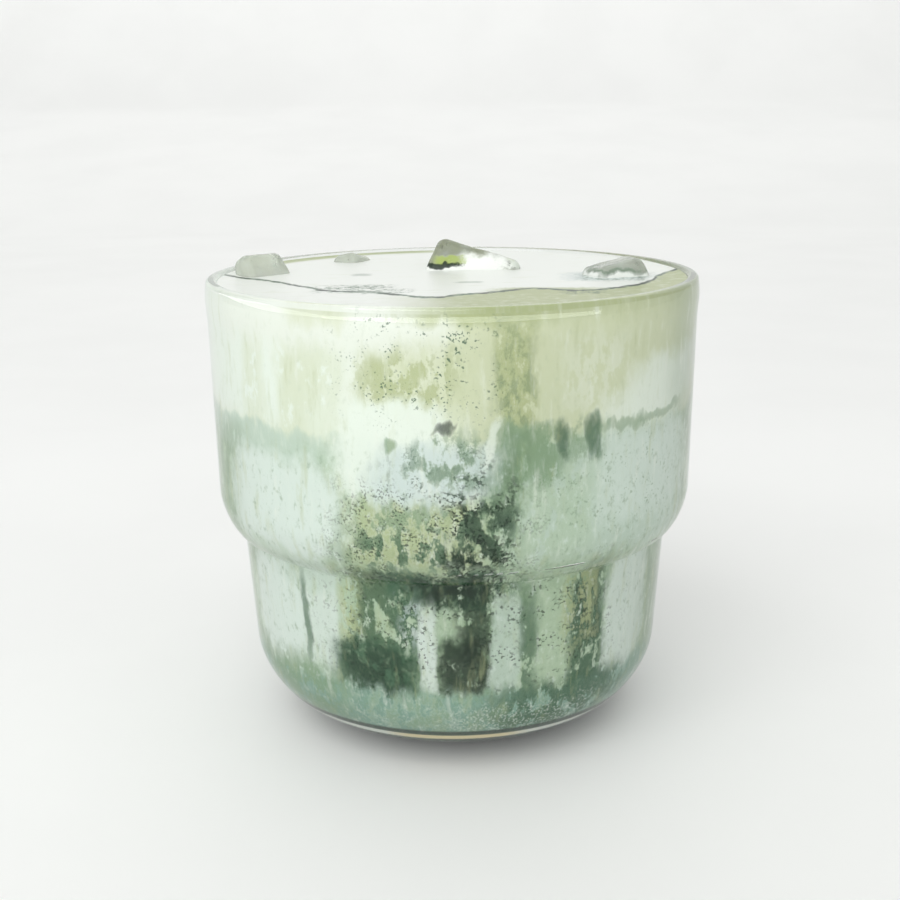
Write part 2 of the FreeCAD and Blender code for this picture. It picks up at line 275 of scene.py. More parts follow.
class Web:
    """A node tree with short ways to add nodes and join them."""

    def __init__(self, tree):
        self.tree = tree

    def add(self, kind, **settings):
        """A node with some of its properties set."""
        node = self.tree.nodes.new(kind)
        for name, value in settings.items():
            setattr(node, name, value)
        return node

    def feed(self, socket, value):
        """Join a socket to an input, or set the input's own value."""
        if isinstance(value, bpy.types.NodeSocket):
            self.tree.links.new(value, socket)
        else:
            socket.default_value = value

    def fill(self, node, values):
        """Feed some of a node's inputs, by name or by number."""
        for name, value in values.items():
            self.feed(node.inputs[name], value)

    def apply(self, kind, *values, **settings):
        """A node fed in the order of its inputs."""
        node = self.add(kind, **settings)
        self.fill(node, dict(enumerate(values)))
        return node

    def math(self, operation, *values):
        """One sum on numbers."""
        return self.apply("ShaderNodeMath", *values, operation=operation).outputs[0]

    def vector(self, operation, *values):
        """One sum on places."""
        return self.apply("ShaderNodeVectorMath", *values, operation=operation).outputs

    def times(self, *values):
        """Numbers multiplied together."""
        return functools.reduce(lambda *pair: self.math("MULTIPLY", *pair), values)

    def ramp(self, value, low, high, start=0.0, end=1.0):
        """A smooth change from start at low to end at high."""
        node = self.add("ShaderNodeMapRange", interpolation_type="SMOOTHSTEP")
        self.fill(node, {"Value": value, "From Min": low, "From Max": high,
                         "To Min": start, "To Max": end})
        return node.outputs[0]

    def mix(self, factor, first, second):
        """A colour between two others."""
        node = self.add("ShaderNodeMix", data_type="RGBA")
        self.fill(node, {0: factor, 6: first, 7: second})
        return node.outputs[2]

    def join(self, across, up):
        """Two numbers as one place."""
        return self.apply("ShaderNodeCombineXYZ", across, up).outputs[0]

    def split(self, place):
        """A place as three numbers."""
        return self.apply("ShaderNodeSeparateXYZ", place).outputs

    def scale(self, place, factors):
        """A place stretched along each axis."""
        return self.vector("MULTIPLY", place, factors)[0]

    def object_place(self):
        """Place on the piece in metres."""
        return self.add("ShaderNodeTexCoord").outputs["Object"]

    def bump(self, height, strength, distance):
        """A normal that follows a height."""
        node = self.add("ShaderNodeBump")
        self.fill(node, {"Height": height, "Strength": strength, "Distance": distance})
        return node.outputs["Normal"]

    def noise(self, place, scale, detail=2.0, rough=0.5, stretch=None):
        """Soft noise from 0 to 1, of a place that may be stretched along each axis first."""
        if stretch:
            place = self.scale(place, stretch)
        node = self.add("ShaderNodeTexNoise")
        self.fill(node, {"Vector": place, "Scale": scale, "Detail": detail, "Roughness": rough})
        return node.outputs["Fac"]


def new_material(name):
    """A material with a Principled shader; returns it, its web and the shader."""
    material = bpy.data.materials.new(name)
    material.use_nodes = True
    web = Web(material.node_tree)
    return material, web, material.node_tree.nodes["Principled BSDF"]


def new_group(name, **outputs):
    """A node group; returns it, its web and its output sockets."""
    tree = bpy.data.node_groups.new(name, "ShaderNodeTree")
    for label, kind in outputs.items():
        tree.interface.new_socket(label, in_out="OUTPUT", socket_type=kind)
    web = Web(tree)
    return tree, web, web.add("NodeGroupOutput").inputs


def patch_share(web, grit, place, middle, half, soft, ragged, strength):
    """How much of a rounded patch is at a place, with a soft edge made ragged by grit.

    Only vector sums and lengths are used, so that the shader keeps few values at once.
    """
    shift = (-middle[0] / half[0], -middle[1] / half[1], 0.0)
    away = web.vector("MULTIPLY_ADD", place, (1 / half[0], 1 / half[1], 0.0), shift)[0]
    reach = web.vector("LENGTH", web.vector("MULTIPLY", away, away)[0])["Value"]
    edge = web.math("MULTIPLY_ADD", grit, 2 * ragged, reach)
    low, high = (1 - soft) ** 2 + ragged, (1 + soft) ** 2 + ragged
    return web.ramp(edge, low, high, strength, 0.0)


# ---- the drink's marbling

MOTTLE_EDGE = 0.14
WHOLE = 1.0 + MOTTLE_EDGE

# Levels in millimetres between which one layer gives way to the next.
CREAM_EDGE = (59.8, 62.6)
PASTE_EDGE = (15.0, 19.0)

# How far the pattern is lifted at the back, in millimetres.
BACK_LIFT = 4.0

# Wandering of the pattern: scale and detail of its noise, reach across and up in millimetres
# and stretch along each axis.
WARPS = ((0.10, 3.0, 1.8, 2.2, (1.0, 1.0, 0.8)), (0.42, 3.0, 1.3, 2.4, (1.0, 1.0, 0.5)))

# Noises: scale, detail, roughness and stretch along each axis.
GRIT = (0.8, 6.0, 0.72, (1.0, 1.0, 0.7))
MOTTLE = (0.42, 6.0, 0.66, (1.0, 1.0, 0.6))
RUNS = (0.55, 4.0, 0.6, (1.0, 1.0, 0.22))
WANDER = (0.12, 5.0, 0.62, (1.0, 1.0, 0.0))
RIPPLE = (0.55, 4.0, 0.6, (1.0, 1.0, 0.0))
SWIRL = (0.22, 5.0, 0.6, (0.5, 1.5, 0.0))
THREADS = (0.5, 3.0, 0.6, (0.6, 1.6, 0.0))
THREAD_EDGE = (0.045, 0.02)

# Patches seen through the wall, painted in order: colour, the angles it spans round the front
# in degrees, the levels it spans in millimetres, how soft and how ragged its edge is, its
# strength and, where given, how much of it the colour covers and its lean (sideways for each
# step up).
MARBLING = (
    # the cream
    ("cream_cool", (-95, -14), (61, 88), 0.35, 0.3, 1.0),
    ("cream_warm", (-39, -31), (63, 82), 0.8, 1.0, 0.6, 0.9, 0.1),
    ("cream_warm", (-30, -24), (66, 85), 0.8, 1.0, 0.45, 0.9),
    ("cream_warm", (-52, -46), (62, 76), 0.8, 0.8, 0.4, 0.8),
    ("cream_pale", (-21, -1), (63, 82), 0.5, 0.4, 0.9),
    ("cream_warm", (-18, 9), (65, 77), 0.4, 0.8, 0.8),
    ("olive", (-18.5, 0), (65.5, 75), 0.5, 1.2, 0.85, 0.62),
    ("cream_pale", (-64, -3), (75, 92), 0.3, 0.4, 0.95),
    ("olive", (-6, 30), (79, 86), 0.35, 0.5, 0.95),
    ("olive", (24, 60), (79, 86), 0.6, 0.5, 0.5, 0.8),
    ("cream_warm", (-36, -22), (79, 86), 0.6, 0.5, 0.6),
    ("cream_warm", (17, 62), (62, 80), 0.5, 0.3, 0.8),
    ("cream_pale", (26, 40), (65, 75), 0.8, 0.6, 0.35, 0.6),
    ("olive", (8.5, 17), (58, 80), 0.4, 0.8, 0.95, 0.8),
    ("moss", (9, 16), (60, 76), 0.7, 1.0, 0.4, 0.42),
    # the wall's edges; leaf green here is painted shade at both sides
    ("cream_cool", (40, 72), (61.5, 71), 0.5, 0.4, 0.9, WHOLE, 1.2),
    ("leaf", (62, 100), (56, 82), 0.6, 0.4, 0.4),
    ("ice_green", (-95, -28), (56, 61.5), 0.35, 0.4, 1.0, WHOLE, -0.1),
    ("leaf", (-76, -56), (52, 59.5), 0.6, 0.6, 0.45, 0.8),
    # ice and latte behind the upper wall
    ("ice_pale", (-62, -24.5), (38, 56.5), 0.2, 0.25, 1.0),
    # leaf green here is painted shade at the left side
    ("leaf", (-100, -64), (36, 58), 0.5, 0.4, 0.4),
    ("leaf", (-29, -24), (37, 46), 0.6, 0.8, 0.4, 0.6),
    ("ice_green", (14, 68), (39, 60.5), 0.2, 0.5, 1.0),
    ("ice_pale", (34, 62), (46, 60), 0.5, 0.4, 0.7),
    ("latte", (13, 30), (40, 57), 0.6, 0.9, 0.6, 0.7),
    ("leaf", (8, 22), (54, 63.5), 0.35, 0.8, 0.9, 0.85, -0.2),
    ("leaf", (20, 34), (57.5, 63), 0.5, 0.8, 0.6, 0.6),
    ("leaf", (33, 46), (60.8, 62.4), 0.5, 0.7, 0.6, WHOLE, 0.09),
    ("leaf", (45, 62), (61.6, 63), 0.5, 0.7, 0.6),
    # drops and dark runs at the right
    ("moss", (10.5, 14), (54, 61), 0.5, 0.9, 0.6),
    ("moss", (22, 25), (58, 63.3), 0.5, 0.7, 0.8),
    ("moss", (29.5, 33), (58, 63.2), 0.4, 0.5, 0.75),
    # the sides
    ("ice_green", (76, 104), (41, 58), 0.3, 0.6, 0.85),
    ("ice_green", (-104, -78), (40, 56), 0.3, 0.6, 0.85),
    # under the white blob
    ("olive", (-22.5, 6), (37, 54), 0.25, 0.8, 0.7),
    ("cream_warm", (-21, 5), (39, 53), 0.5, 0.9, 0.8, 0.58),
    ("leaf", (-21.5, 6), (37, 53), 0.4, 1.1, 0.8, 0.46),
    ("moss", (-20, -2), (37.5, 46), 0.6, 1.0, 0.8, 0.42),
    ("moss", (-0.5, 12.5), (35, 57), 0.5, 1.0, 0.8, 0.64, 0.12),
    ("deep", (3, 11.5), (37, 58), 0.6, 1.0, 0.52, 0.48, 0.2),
    ("deep", (-2, 9), (33, 43), 0.5, 1.2, 0.9, 0.66, 0.1),
    ("leaf", (7, 15), (52, 63), 0.5, 0.9, 0.8),
    # painted shade of the glass's shoulder: a duller band across the front at the neck, darker in the
    # middle
    ("latte", (-70, 70), (36.5, 40.5), 0.6, 0.5, 0.55),
    ("moss", (-24, 14), (35, 39.5), 0.5, 1.0, 0.85, 0.7),
    # the white blob
    ("blob", (-25, 3.5), (52.2, 66.8), 0.2, 0.35, 0.95, WHOLE, 0.15),
    ("cream_warm", (-1, 9), (60, 68), 0.5, 0.8, 0.75),
    ("lace", (-17, 8), (51.8, 60.5), 0.4, 0.5, 0.9, WHOLE, 0.5),
    ("leaf", (-8, 7.5), (54, 62), 0.6, 1.0, 0.7, 0.46, 0.4),
    ("moss", (-14, 6), (54, 60.5), 0.6, 1.0, 0.4, 0.3, 0.4),
    ("blob", (7.2, 9.2), (57.5, 64.5), 0.5, 0.5, 0.7, WHOLE, 0.2),
    ("deep", (-3.6, 0.0), (62.6, 64.2), 0.6, 0.25, 0.8, WHOLE, 0.7),
    ("leaf", (-14, -12), (59.7, 61.3), 0.5, 0.15, 0.8),
    # the lower wall
    ("ice_pale", (-68, -42.5), (17.5, 37), 0.25, 0.35, 1.0),
    ("ice_pale", (-42, -29), (18.5, 39), 0.3, 0.5, 0.9),
    ("moss", (-43.2, -41.4), (21, 36), 0.6, 0.7, 0.75),
    ("ice_green", (-50, -28), (33, 38), 0.6, 0.6, 0.6),
    ("latte", (-31, -22), (21, 38), 0.4, 0.8, 0.9),
    ("olive", (-30, -18), (24, 38), 0.5, 1.0, 0.8, 0.55),
    ("moss", (-25, -12), (23, 38), 0.4, 1.1, 0.88, 0.68),
    ("moss", (-14, -8), (25, 38), 0.4, 1.0, 0.9, 0.66),
    ("lace", (-14, -8), (26, 35), 0.6, 0.9, 0.6, 0.4),
    # the dark pools and the neck's shadow
    ("moss", (-33, -10), (14.5, 25.5), 0.3, 0.6, 1.0),
    ("deep", (-30, -13), (15.5, 24), 0.6, 0.8, 0.6, 0.72),
    ("leaf", (-5, 9), (25, 34), 0.5, 0.8, 0.9, 0.8),
    ("latte", (-5, 2), (27, 32.5), 0.5, 0.8, 0.9, 0.75),
    ("deep", (1, 8.5), (24, 35), 0.5, 1.0, 0.8, 0.72),
    ("moss", (-14.5, 10), (32.5, 38), 0.4, 1.1, 0.9, 0.85),
    ("deep", (-9, 9), (33, 38), 0.5, 1.0, 0.9, 0.9),
    ("deep", (-4.0, 8.6), (16.5, 26.5), 0.28, 0.7, 0.9, 0.95),
    ("ice_pale", (-9.4, -4.8), (17, 32), 0.35, 0.4, 0.95, WHOLE, -0.03),
    # the lower wall at the right
    ("ice_green", (9, 16.5), (16.5, 34.5), 0.28, 0.6, 0.95, WHOLE, 0.05),
    ("latte", (19, 31), (15.5, 35), 0.4, 0.7, 0.95),
    ("moss", (15.5, 20.5), (17, 33), 0.6, 1.0, 0.75, 0.7, 0.05),
    ("moss", (31, 42), (13.5, 37), 0.4, 1.0, 0.95, 0.82),
    ("deep", (33, 40), (24, 35.5), 0.6, 1.0, 0.55, 0.6),
    ("olive", (29, 39), (24, 38), 0.5, 0.9, 0.7, 0.5),
    ("ice_pale", (43, 62), (15.5, 38), 0.22, 0.35, 0.9, WHOLE, 0.05),
    # leaf green here is painted shade at the right side
    ("leaf", (62, 100), (12, 38), 0.5, 0.4, 0.5),
    # the sides below
    ("ice_green", (77, 103), (18, 35), 0.3, 0.6, 0.8),
    ("ice_green", (-103, -80), (19, 35), 0.3, 0.6, 0.8),
    # the paste
    ("paste", (-95, 95), (0, 16), 0.12, 0.25, 0.75),
    ("froth", (-30, 14), (6, 16), 0.5, 0.9, 0.7, 0.5),
    ("leaf", (-26, 20), (5, 15), 0.6, 1.0, 0.6, 0.4),
    ("moss", (12, 50), (9, 17), 0.5, 1.0, 0.85, 0.7),
    ("leaf", (-66, -34), (8, 18), 0.6, 0.9, 0.75, 0.66),
)


# Veils over the whole wall, painted in order: colour, the noise that shows it, the values
# between which it comes in, its strength and whether it is pale.
VEILS = (
    ("olive", "runs", (0.52, 0.78), 0.4, False),
    ("cream_pale", "runs", (0.46, 0.24), 0.5, True),
    ("ice_pale", "grit", (0.47, 0.3), 0.6, True),
    ("leaf", "grit", (0.53, 0.72), 0.6, False),
)
VEIL_LIGHT = (0.12, 0.4)
VEIL_LEVELS = (63.0, 50.0)
VEIL_IN_CREAM = 0.2

# Specks on the wall: scale of their noise and its least value that shows, the angles and
# levels they span, colour and strength.
SPECKS = (
    (2.2, 0.60, (-22, 9), (65, 80), "moss", 0.9),
    (2.6, 0.54, (-25, 14), (37, 53.5), "deep", 0.75),
    (1.3, 0.50, (-1, 13), (35, 57), "deep", 0.75),
    (1.8, 0.60, (16, 60), (42, 61), "leaf", 0.6),
    (2.6, 0.55, (-12, 8), (53, 61), "moss", 0.5),
    (1.7, 0.56, (-30, 42), (18, 38), "deep", 0.7),
)
SPECK_EDGE = 0.05
CLUMP_SCALE = 0.33
CLUMP_SPAN = (0.44, 0.6)

# Froth: scale, detail and roughness of its noise, and the patch it keeps to.
FROTH = (2.4, 3.0, 0.65)
FROTH_SPAN = (0.52, 0.62)
FROTH_PATCH = ((0, 40), (8.5, 13.5), 0.6, 1.0, 1.0, WHOLE, 0.1)

# The foot, in millimetres: levels between which the painted shade line and the band of painted light
# under it come in, and the distances from the middle between which the band turns to a gold painted
# highlight.
FOOT_SHADE_LINE = (9.4, 8.8)
FOOT_LIGHT_BAND_TOP = (8.2, 7.9)
FOOT_LIGHT_BAND_LOW = (6.9, 7.3)
GOLD_HIGHLIGHT_REACH = (13.0, 7.0)


class Marbling:
    """Builds the group that colours the whole drink from its place on the wall."""

    def __init__(self, sizes, colours):
        self.tint = colours.tint
        self.tree, self.web, self.result = new_group(
            "drink_marbling", Colour="NodeSocketColor", Relief="NodeSocketFloat"
        )
        self.reach = (sizes.rim_radius - sizes.wall) / MM
        self.brim = sizes.height / MM
        self.leaned = {}

    def places(self):
        """Set the wall's coordinates, in millimetres across and up, plain and stirred."""
        web = self.web
        self.solid = web.scale(web.object_place(), (1 / MM, 1 / MM, 1 / MM))
        self.across, self.along, self.level = web.split(self.solid)
        square = web.math("ADD", web.times(self.across, self.across),
                          web.times(self.along, self.along))
        self.radius = web.math("MAXIMUM", web.math("SQRT", square), 0.001)
        angle = web.math("ARCSINE", web.math("DIVIDE", self.across, self.radius))
        back = web.math("MAXIMUM", web.math("DIVIDE", self.along, self.radius), 0.0)
        lifted = web.math("ADD", self.level, web.times(back, BACK_LIFT))
        self.stirred = web.join(web.times(angle, self.reach), lifted)
        for row in WARPS:
            self.stirred = web.vector("ADD", self.stirred, self.warp(*row))[0]
        self.grit = web.noise(self.solid, *GRIT)
        self.mottle = web.ramp(web.noise(self.solid, *MOTTLE), 0.3, 0.7)

    def warp(self, scale, detail, side, rise, stretch):
        """A wandering offset on the wall: about side across and rise up, in millimetres."""
        web = self.web
        stir = web.noise(self.solid, scale, detail, stretch=stretch).node.outputs["Color"]
        middle = web.vector("SUBTRACT", stir, (0.5, 0.5, 0.5))[0]
        return web.scale(middle, (2 * side, 2 * rise, 0.0))

    def share_at(self, place, middle, half, soft, ragged, strength=1.0, cover=WHOLE):
        """How much of a rounded patch is at a place; part of it shows through where mottled."""
        share = patch_share(self.web, self.grit, place, middle, half, soft, ragged, strength)
        if cover < WHOLE:
            mottles = self.web.ramp(self.mottle, 1 - cover - MOTTLE_EDGE, 1 - cover + MOTTLE_EDGE)
            share = self.web.times(share, mottles)
        return share

    def lean_place(self, lean):
        """The stirred place on the wall, sheared so that a leaning patch stands upright."""
        if lean not in self.leaned:
            across, up, _ = self.web.split(self.stirred)
            sheared = self.web.math("MULTIPLY_ADD", up, -lean, across)
            self.leaned[lean] = self.web.join(sheared, up)
        return self.leaned[lean]

    def share_of(self, angles, levels, soft, ragged, strength=1.0, cover=WHOLE, lean=0.0):
        """How much of a patch on the wall is here, from the angles and levels it spans."""
        to_mm = self.reach * math.pi / 180
        low, high = angles[0] * to_mm, angles[1] * to_mm
        up = sum(levels) / 2
        middle = ((low + high) / 2 - lean * up, up)
        half = ((high - low) / 2, (levels[1] - levels[0]) / 2)
        return self.share_at(self.lean_place(lean), middle, half, soft, ragged, strength, cover)

    def layers(self):
        """The three layers before any patch."""
        web = self.web
        stirred_level = web.split(self.stirred)[1]
        cream_edge = web.ramp(stirred_level, *CREAM_EDGE)
        paste_edge = web.ramp(stirred_level, *PASTE_EDGE)
        latte = web.mix(self.mottle, self.tint("latte"), self.tint("leaf"))
        paste = web.mix(self.mottle, self.tint("paste"), self.tint("leaf"))
        tone = web.mix(paste_edge, paste, latte)
        return web.mix(cream_edge, tone, self.tint("cream_warm"))

    def veils(self, tone):
        """Faint upright runs and clouds all over; the pale ones keep off what is dark."""
        web = self.web
        grey = web.apply("ShaderNodeRGBToBW", tone).outputs[0]
        light = web.ramp(grey, *VEIL_LIGHT)
        below = web.ramp(self.level, *VEIL_LEVELS, VEIL_IN_CREAM, 1.0)
        sources = {"runs": web.noise(self.solid, *RUNS), "grit": self.grit}
        for name, source, span, strength, pale in VEILS:
            share = web.ramp(sources[source], *span, 0.0, strength)
            if pale:
                share = web.times(share, light)
            if source == "grit":
                share = web.times(share, below)
            tone = web.mix(share, tone, self.tint(name))
        return tone

    def specks(self, tone, scale, least, angles, levels, name, strength):
        """Small ragged specks that gather in clumps over one stretch of the wall."""
        web = self.web
        dots = web.ramp(web.noise(self.solid, scale), least, least + SPECK_EDGE)
        clump = web.ramp(web.noise(self.solid, CLUMP_SCALE), *CLUMP_SPAN)
        where = self.share_of(angles, levels, 0.5, 0.3)
        amount = web.times(web.times(dots, clump), web.times(where, strength))
        return web.mix(amount, tone, self.tint(name))

    def froth(self, tone):
        """Frothy pale flecks low in the paste."""
        web = self.web
        dots = web.ramp(web.noise(self.solid, *FROTH), *FROTH_SPAN, 0.0, 0.5)
        where = self.share_of(*FROTH_PATCH)
        return web.mix(web.times(dots, where), tone, self.tint("cream_cool"))

    def foot(self, tone):
        """Painted shade and light at the foot: a dark shade line round the drink, and below it a pale
        band of light caught in the floor's edge, gold in the middle.
        """
        web = self.web
        # Painted highlight: the band's light is gold in the middle.
        gold_highlight_share = web.ramp(web.math("ABSOLUTE", self.across), *GOLD_HIGHLIGHT_REACH)
        clear = web.mix(gold_highlight_share, self.tint("cream_pale"), self.tint("gold"))
        # Painted shade: a dark line round the bottom of the drink.
        tone = web.mix(web.ramp(self.level, *FOOT_SHADE_LINE, 0.0, 0.85), tone, self.tint("deep"))
        # Painted light: the pale band where the floor's clear edge shows.
        light_band = web.times(web.ramp(self.level, *FOOT_LIGHT_BAND_TOP), web.ramp(self.level, *FOOT_LIGHT_BAND_LOW))
        return web.mix(light_band, tone, clear)

    def strands(self):
        """Thin wandering dark threads."""
        web = self.web
        off = web.math("SUBTRACT", web.noise(self.solid, *THREADS), 0.5)
        return web.ramp(web.math("ABSOLUTE", off), *THREAD_EDGE)

    def shore(self):
        """How far the shore line of the milk lies in front of the middle, in millimetres."""
        web = self.web
        node = web.add("ShaderNodeFloatCurve")
        points = node.mapping.curves[0].points
        (x0, y0), *middle, (x1, y1) = [
            ((across + SHORE_SPAN) / (2 * SHORE_SPAN), (front + SHORE_BACK) / SHORE_DEPTH)
            for across, front in SHORE_LINE
        ]
        points[0].location, points[1].location = (x0, y0), (x1, y1)
        for spot in middle:
            points.new(*spot)
        node.mapping.update()
        share = web.math("MULTIPLY_ADD", self.across, 0.5 / SHORE_SPAN, 0.5)
        web.feed(node.inputs["Value"], share)
        return web.math("MULTIPLY_ADD", node.outputs["Value"], SHORE_DEPTH, -SHORE_BACK)

    def top(self, tone):
        """The milk's upper face: white behind a thin dark shore line, olive in front of it."""
        web = self.web
        wander, ripple = web.noise(self.solid, *WANDER), web.noise(self.solid, *RIPPLE)
        shore = web.math("ADD", self.along, self.shore())
        for stir in (wander, ripple):
            off = web.math("SUBTRACT", stir, 0.5)
            shore = web.math("ADD", shore, web.times(off, SHORE_STIR))
        warm = web.ramp(web.math("ADD", self.across, web.times(wander, WARM_STIR)), *TOP_WARM)
        near = web.mix(warm, self.tint("milk"), self.tint("olive"))
        near = web.mix(web.ramp(ripple, 0.45, 0.75, 0.0, 0.4), near, self.tint("cream_pale"))
        face = web.mix(web.ramp(shore, *SHORE_EDGE), near, self.tint("milk"))
        swirl = web.ramp(web.noise(self.solid, *SWIRL), 0.56, 0.7)
        face = web.mix(web.times(swirl, 0.22), face, self.tint("cream_warm"))
        face = web.mix(self.brink(), face, self.tint("olive"))
        face = self.shore_marks(face)
        line = web.times(web.ramp(shore, *LINE_FRONT), web.ramp(shore, *LINE_BACK))
        broken = web.ramp(ripple, 0.36, 0.5, 0.45, 1.0)
        ink = web.mix(web.ramp(wander, 0.4, 0.62), self.tint("moss"), self.tint("deep"))
        face = web.mix(web.times(line, broken), face, ink)
        is_top = web.ramp(self.level, *(self.brim - depth for depth in TOP_DEPTHS))
        inside = web.ramp(self.radius, self.reach + 0.1, self.reach - 0.2)
        return web.mix(web.times(is_top, inside), tone, face)

    def brink(self):
        """The olive ring at the wall, at the back left."""
        web = self.web
        ring = web.ramp(self.radius, *(self.reach - depth for depth in BRINK_DEPTHS))
        left = web.ramp(self.across, *BRINK_LEFT)
        return web.times(ring, web.times(web.ramp(self.along, *BRINK_BACK), left))

    def shore_marks(self, face):
        """Marks on the milk's upper face, some of them made of threads."""
        threads = self.strands()
        flat = self.web.join(self.across, self.along)
        for name, middle, half, ragged, threaded, strength in SHORE_MARKS:
            share = self.share_at(flat, middle, half, 0.5, ragged, strength)
            if threaded:
                share = self.web.times(share, threads)
            face = self.web.mix(share, face, self.tint(name))
        return face

    def build(self):
        """Join everything and return the group."""
        self.places()
        tone = self.layers()
        for name, *patch in MARBLING:
            tone = self.web.mix(self.share_of(*patch), tone, self.tint(name))
        tone = self.veils(tone)
        for row in SPECKS:
            tone = self.specks(tone, *row)
        tone = self.froth(tone)
        tone = self.foot(tone)
        tone = self.top(tone)
        self.web.feed(self.result["Colour"], tone)
        self.web.feed(self.result["Relief"], self.grit)
        return self.tree


# The shore line on the milk's upper face: places across and how far each lies in front.
SHORE_SPAN = 42.0
SHORE_BACK = 8.0
SHORE_DEPTH = 36.0
SHORE_LINE = (
    (-42.0, -4.0), (-33.0, 2.0), (-26.0, 9.8), (-19.6, 16.5), (-13.6, 18.6), (-8.5, 22.3),
    (-3.5, 25.5), (1.0, 22.6), (8.0, 19.0), (14.7, 16.4), (21.0, 18.6), (28.3, 15.2),
    (34.4, 8.1), (37.0, 1.0), (42.0, -6.0),
)

# The rest of the upper face, in millimetres: how far noise stirs the shore line; how far
# behind it the milk turns white and its dark line starts and ends; where the front turns warm;
# the olive ring's depth from the wall and where it comes in; and the face's depth below the
# brim.
SHORE_STIR = 3.0
SHORE_EDGE = (-1.2, 0.6)
LINE_FRONT = (-1.5, -0.5)
LINE_BACK = (1.3, 0.3)
TOP_WARM = (-10.0, 9.0)
WARM_STIR = 8.0
BRINK_DEPTHS = (3.0, 1.4)
BRINK_LEFT = (4.0, -8.0)
BRINK_BACK = (8.0, 18.0)
TOP_DEPTHS = (1.35, 1.15)

# Marks on the milk's upper face: colour, middle and half size in plan, raggedness, whether
# it is made of threads, and strength.
SHORE_MARKS = (
    ("olive", (16.0, -19.0), (8.0, 3.4), 1.2, False, 0.9),
    ("moss", (-16.5, -14.0), (5.5, 4.2), 1.2, True, 1.0),
    ("moss", (-11.5, -17.5), (4.0, 2.6), 1.0, True, 1.0),
    ("moss", (21.5, -20.5), (3.0, 2.6), 1.2, True, 1.0),
    ("moss", (3.0, -7.0), (2.0, 0.9), 1.6, False, 0.4),
    ("moss", (-16.5, 4.5), (1.6, 1.6), 1.6, False, 0.4),
    ("lace", (28.0, -1.0), (6.5, 5.0), 1.4, False, 0.8),
    ("moss", (29.5, -1.0), (5.5, 5.5), 1.4, True, 0.95),
)


def drink_material(name, marbling, roughness, index):
    """Milky drink, wet and marbled, with its index against what it touches."""
    material, web, shader = new_material(name)
    group = web.add("ShaderNodeGroup", node_tree=marbling)
    web.fill(shader, {
        "Base Color": group.outputs["Colour"],
        "Normal": web.bump(group.outputs["Relief"], 0.15, 0.2 * MM),
        "Roughness": roughness,
        "IOR": index,
    })
    return material


# Levels between which painted shade darkens the glass's foot where it meets the table, its index, and
# what it passes of a lamp.
GLASS_FOOT_SHADE = (3.0 * MM, 2.5 * MM)
GLASS_INDEX = 1.47
SHADOW_TINT = (0.96, 0.97, 0.96, 1.0)


def glass_material(colours):
    """Clear polished glass that lets lamps through to the drink, with painted shade at its edges and
    at its foot.
    """
    material, web, shader = new_material("tumbler_glass")
    place = web.object_place()
    smear = web.noise(place, 60.0, 3.0)
    # Painted shade towards the glass's edges, where the wall is seen along its length.
    along = web.ramp(web.add("ShaderNodeLayerWeight").outputs["Facing"], 0.8, 1.0)
    tone = web.mix(along, colours.tint("glass"), colours.tint("glass_edge_shade"))
    # Painted shade at the foot, where the glass meets the table.
    foot = web.ramp(web.split(place)[2], *GLASS_FOOT_SHADE)
    web.fill(shader, {
        "Base Color": web.mix(foot, tone, colours.tint("glass_foot_shade")),
        "Roughness": web.ramp(smear, 0.5, 0.8, 0.0, 0.03),
        "Transmission Weight": 1.0,
        "IOR": GLASS_INDEX,
    })
    clear = web.apply("ShaderNodeBsdfTransparent", SHADOW_TINT)
    from_lamp = web.add("ShaderNodeLightPath").outputs["Is Shadow Ray"]
    mixed = web.apply("ShaderNodeMixShader", from_lamp, shader.outputs[0], clear.outputs[0])
    output = material.node_tree.nodes["Material Output"]
    web.feed(output.inputs["Surface"], mixed.outputs[0])
    return material


# Marks on the ice as seen from the front: colour, middle and half size across and up in
# millimetres, raggedness and strength.
ICE_MARKS = (
    ("ice_bright", (10.5, 82.6), (3.2, 1.1), 0.6, 0.8),
    ("ice_grey", (12.5, 83.6), (3.0, 0.8), 0.6, 0.6),
    ("milk", (5.6, 81.4), (4.6, 2.3), 0.9, 1.0),
    ("milk", (-1.5, 80.6), (5.0, 1.2), 0.9, 1.0),
    ("lime", (-0.6, 82.75), (2.6, 0.75), 0.9, 0.85),
    # painted shade: dark lines where the middle ice and the right ice stand in the milk
    ("deep", (-2.0, 81.9), (3.4, 0.45), 1.1, 0.95),
    ("moss", (29.0, 81.6), (5.5, 0.9), 1.6, 0.7),
    ("milk", (29.0, 80.4), (7.5, 1.2), 0.9, 1.0),
)

# In millimetres: how far from the middle the grey ice ends, how far over the milk the ice
# turns milky, and how far its marks wander.
GREY_ICE_REACH = (18.0, 15.0)
MILKY_FOOT = (1.0, 0.1)
MARKS_WANDER = (3.0, 2.4)
ICE_INDEX = 1.31


